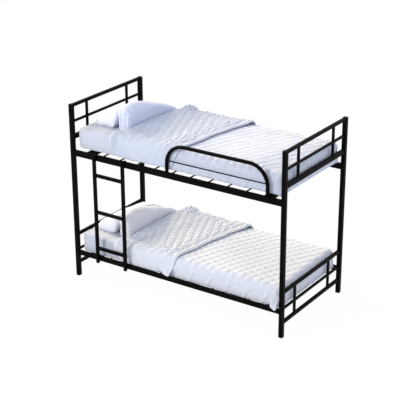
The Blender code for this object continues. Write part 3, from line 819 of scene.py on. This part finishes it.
def inflate(piece):
    """Swells a padded piece with cloth simulation, moving no point further than PILLOW_SWELL."""
    before = positions(piece.data)
    cloth = piece.modifiers.new("swell", "CLOTH")
    cloth.settings.quality = 6
    cloth.settings.mass = 0.25
    cloth.settings.tension_stiffness = 18
    cloth.settings.compression_stiffness = 18
    cloth.settings.shear_stiffness = 8
    cloth.settings.bending_stiffness = 0.25
    cloth.settings.use_pressure = True
    cloth.settings.uniform_pressure_force = PILLOW_PRESSURE
    cloth.settings.shrink_min = PILLOW_SHRINK
    cloth.settings.effector_weights.gravity = 0.0
    cloth.point_cache.frame_start = 1
    cloth.point_cache.frame_end = SIM_FRAMES
    scene = bpy.context.scene
    for frame_number in range(1, SIM_FRAMES + 1):
        scene.frame_set(frame_number)
    apply_modifiers(piece)
    scene.frame_set(1)
    step = positions(piece.data) - before
    length = np.maximum(np.linalg.norm(step, axis=1, keepdims=True), 1e-9)
    set_positions(piece.data, before + step * np.minimum(1.0, PILLOW_SWELL / length))


def pillowcase_folds(points, which):
    """How far the open end of a pillowcase stands out, in upright gathers."""
    low, high = points.min(0), points.max(0)
    depth = np.clip((points[:, 1] - low[1]) / GATHERS_AT_END_DEPTH, 0, 1)
    level = np.clip((points[:, 2] - low[2]) / (high[2] - low[2]), 0, 1)
    from_middle = points[:, 0] - (low[0] + high[0]) / 2
    gathers = np.sin(from_middle * 2 * math.pi / GATHERS_AT_END_PITCH + 0.8 * level)
    fade = (1 - depth) ** 2 * np.sin(math.pi * np.clip(level, 0.02, 0.98)) ** 0.5
    return -GATHERS_AT_END[which] * gathers * fade


def make_pillow(bunk, which, rings, material):
    """A filled pillowcase: the shape of its rings, swelled by simulation, flat where it lies."""
    count = len(rings[0])
    faces = ring_faces(rings)
    faces.append(tuple(range(count)))
    faces.append(tuple((len(rings) - 1) * count + i for i in range(count)))
    pillow = finish_mesh(f"{bunk.tier}_{which}_pillowcase", np.concatenate(rings), faces, material)
    face_outwards(pillow)
    remesh(pillow)
    inflate(pillow)
    points = positions(pillow.data)
    points[:, 1] += pillowcase_folds(points, which)
    points[:, 2] = np.maximum(points[:, 2], bunk.top + PILLOW_BOTTOM)
    points[:, 0] = np.clip(points[:, 0], *PILLOW_LIMITS[which])
    set_positions(pillow.data, points)
    smooth = pillow.modifiers.new("fine", "SUBSURF")
    smooth.levels = 1
    smooth.render_levels = 1
    apply_modifiers(pillow)
    pillow.data.shade_smooth()
    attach(pillow, f"{bunk.tier}_{which}_pillow")
    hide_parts(f"{bunk.tier}_pillow_{which}")


# ---------------------------------------------------------------- stage


def add_camera(middle_y):
    camera = bpy.data.cameras.new("camera")
    camera.lens = CAMERA_LENS
    camera.sensor_width = CAMERA_SENSOR
    camera.clip_end = CAMERA_REACH
    azimuth, elevation, roll = (math.radians(angle) for angle in CAMERA_ANGLES)
    level = math.cos(elevation)
    back = Vector((math.sin(azimuth) * level, -math.cos(azimuth) * level, math.sin(elevation)))
    right = Vector((math.cos(azimuth), math.sin(azimuth), 0))
    up = back.cross(right)
    turned_right = math.cos(roll) * right + math.sin(roll) * up
    turned_up = -math.sin(roll) * right + math.cos(roll) * up
    place = bpy.data.objects.new("camera", camera)
    bpy.context.scene.collection.objects.link(place)
    rotation = Matrix((turned_right, turned_up, back)).transposed().to_4x4()
    x, y, z = CAMERA_PLACE
    place.matrix_world = Matrix.Translation(Vector((x, y + middle_y, z))) @ rotation
    bpy.context.scene.camera = place


def add_area_light(name):
    location, target, size, power, colour, spread = AREA_LIGHTS[name]
    light = bpy.data.lights.new(name, "AREA")
    light.shape = "RECTANGLE"
    light.size, light.size_y = size
    light.spread = math.radians(spread)
    light.energy = power
    light.color = colour
    place = bpy.data.objects.new(name, light)
    bpy.context.scene.collection.objects.link(place)
    place.location = location
    place.visible_camera = False
    place.rotation_euler = (Vector(target) - Vector(location)).to_track_quat("-Z", "Y").to_euler()


def add_sun(name, lit, blockers=None):
    """The key light, from the head side. It lights the pieces in lit; only blockers, if given, shade it."""
    sun = bpy.data.lights.new(name, "SUN")
    sun.energy = SUN_POWER[name]
    sun.angle = math.radians(SUN_ANGLE)
    sun.color = SUN_COLOUR
    key = bpy.data.objects.new(name, sun)
    bpy.context.scene.collection.objects.link(key)
    key.rotation_euler = Vector(SUN_DIRECTION).to_track_quat("-Z", "Y").to_euler()
    key.light_linking.receiver_collection = lit
    if blockers is not None:
        key.light_linking.blocker_collection = blockers


def gather(name, pieces):
    group = bpy.data.collections.new(name)
    for piece in pieces:
        group.objects.link(piece)
    return group


def add_world():
    world = bpy.data.worlds.new("studio")
    world.use_nodes = True
    sky = world.node_tree.nodes["Background"]
    sky.inputs["Color"].default_value = (1.0, 1.0, 1.0, 1.0)
    sky.inputs["Strength"].default_value = 1.0
    bpy.context.scene.world = world


def add_lights():
    """The upper bunk's bedding doesn't shade the lower bunk's, which has a sun of its own."""
    shown = [piece for piece in bpy.data.objects if piece.type == "MESH"]
    upper_soft = [piece for piece in shown if piece.get("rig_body", "").startswith("upper_")]
    lower_soft = [piece for piece in shown if piece.get("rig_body", "").startswith("lower_")]
    sky_side = [piece for piece in shown if piece not in lower_soft]
    open_side = [piece for piece in shown if piece not in upper_soft and "slat_base" not in piece.name]
    lit_by_upper = gather("lit_by_upper", sky_side)
    lit_by_lower = gather("lit_by_lower", lower_soft)
    lower_blockers = gather("lower_blockers", open_side)
    add_sun("upper_key", lit_by_upper)
    add_area_light("foot_key")
    add_area_light("front_fill")
    add_sun("lower_key", lit_by_lower, lower_blockers)
    add_area_light("between_bunks")


def add_floor():
    bpy.ops.mesh.primitive_grid_add(
        x_subdivisions=8, y_subdivisions=8, size=FLOOR_SIZE, location=(0, 0, FLOOR_Z)
    )
    floor = bpy.context.object
    floor.name = "floor"
    floor.data.materials.append(floor_material())


# ---------------------------------------------------------------- main


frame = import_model()
frame_middle_y = (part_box("post_head_front")[0].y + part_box("post_head_back")[1].y) / 2

steel = steel_material()
plastic = plastic_material()
cotton = {name: cloth_material(f"{name}_cotton", *look_with_painted_shading) for name, look_with_painted_shading in COTTON_WITH_PAINTED_SHADING.items()}

for node_name, node in frame["nodes"].items():
    finish = plastic if node_name.startswith("foot_cap") else steel
    node.data.materials.clear()
    node.data.materials.append(finish)

for tier in ("upper", "lower"):
    bunk = Bunk(tier)
    shift = PILLOW_SHIFT[tier]
    make_mattress(bunk, cotton["sheet"])
    # The upper bunk takes the darker, bluer quilt and pillow colours, which are painted shade
    make_quilt(bunk, cotton[f"{tier}_quilt"], PILLOW_FRONT_END + shift)
    make_pillow(bunk, "front", front_pillow_rings(bunk, shift), cotton[f"{tier}_pillow"])
    make_pillow(bunk, "back", back_pillow_rings(bunk, shift), cotton["back_pillow"])

add_camera(frame_middle_y)
add_world()
add_lights()
add_floor()
bpy.context.scene.view_settings.view_transform = "Standard"
